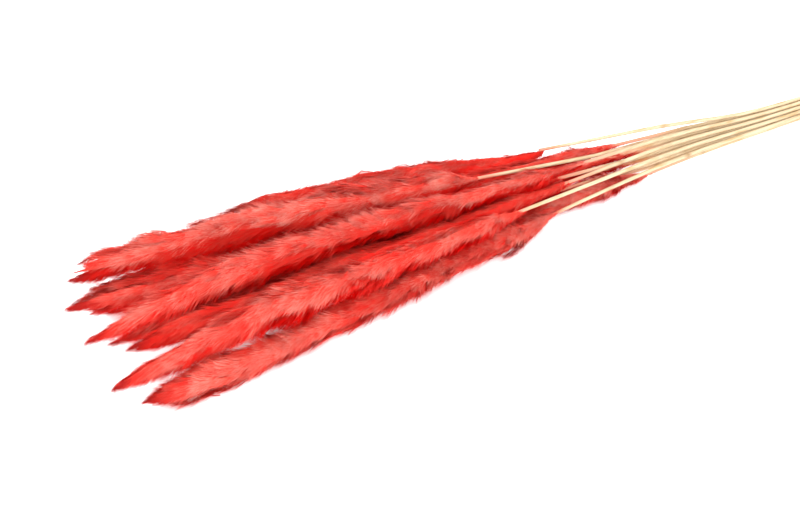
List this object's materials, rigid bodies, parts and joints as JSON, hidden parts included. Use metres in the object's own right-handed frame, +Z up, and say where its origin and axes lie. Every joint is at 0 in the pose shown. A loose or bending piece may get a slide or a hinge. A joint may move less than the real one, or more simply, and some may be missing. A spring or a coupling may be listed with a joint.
{
  "type": "bunch of dyed pampas grass",
  "caption": "Bunch of small pampas grass with soft coral-red dyed plumes on thin straw-coloured stems, gathered by a rubber band and lying on its side.",
  "frame": {"origin": "middle of the bunch's bounding box, on the surface it lies on", "axes": "+X along the bunch from the plume tips to the cut ends, +Z up, +Y to the side that is far from the camera"},
  "size_m": [0.685, 0.1332, 0.0611],
  "materials": {
    "plume": "soft matt plant fibre, dyed coral red, darker in the depths and at the tips",
    "stem": "dry straw, pale cream with tan streaks, satin",
    "band": "natural tan rubber, matt"
  },
  "bodies": {
    "root": {"plume_01": "plume", "plume_02": "plume", "plume_03": "plume", "plume_04": "plume", "plume_05": "plume", "plume_06": "plume", "plume_07": "plume", "plume_08": "plume", "plume_09": "plume", "plume_10": "plume", "plume_11": "plume", "plume_12": "plume", "plume_13": "plume", "plume_14": "plume", "stem_01": "stem", "stem_02": "stem", "stem_03": "stem", "stem_04": "stem", "stem_05": "stem", "stem_06": "stem", "stem_07": "stem", "stem_08": "stem", "stem_09": "stem", "stem_10": "stem", "stem_11": "stem", "stem_12": "stem", "stem_13": "stem", "stem_14": "stem", "rubber_band": "band"}
  },
  "joints": []
}
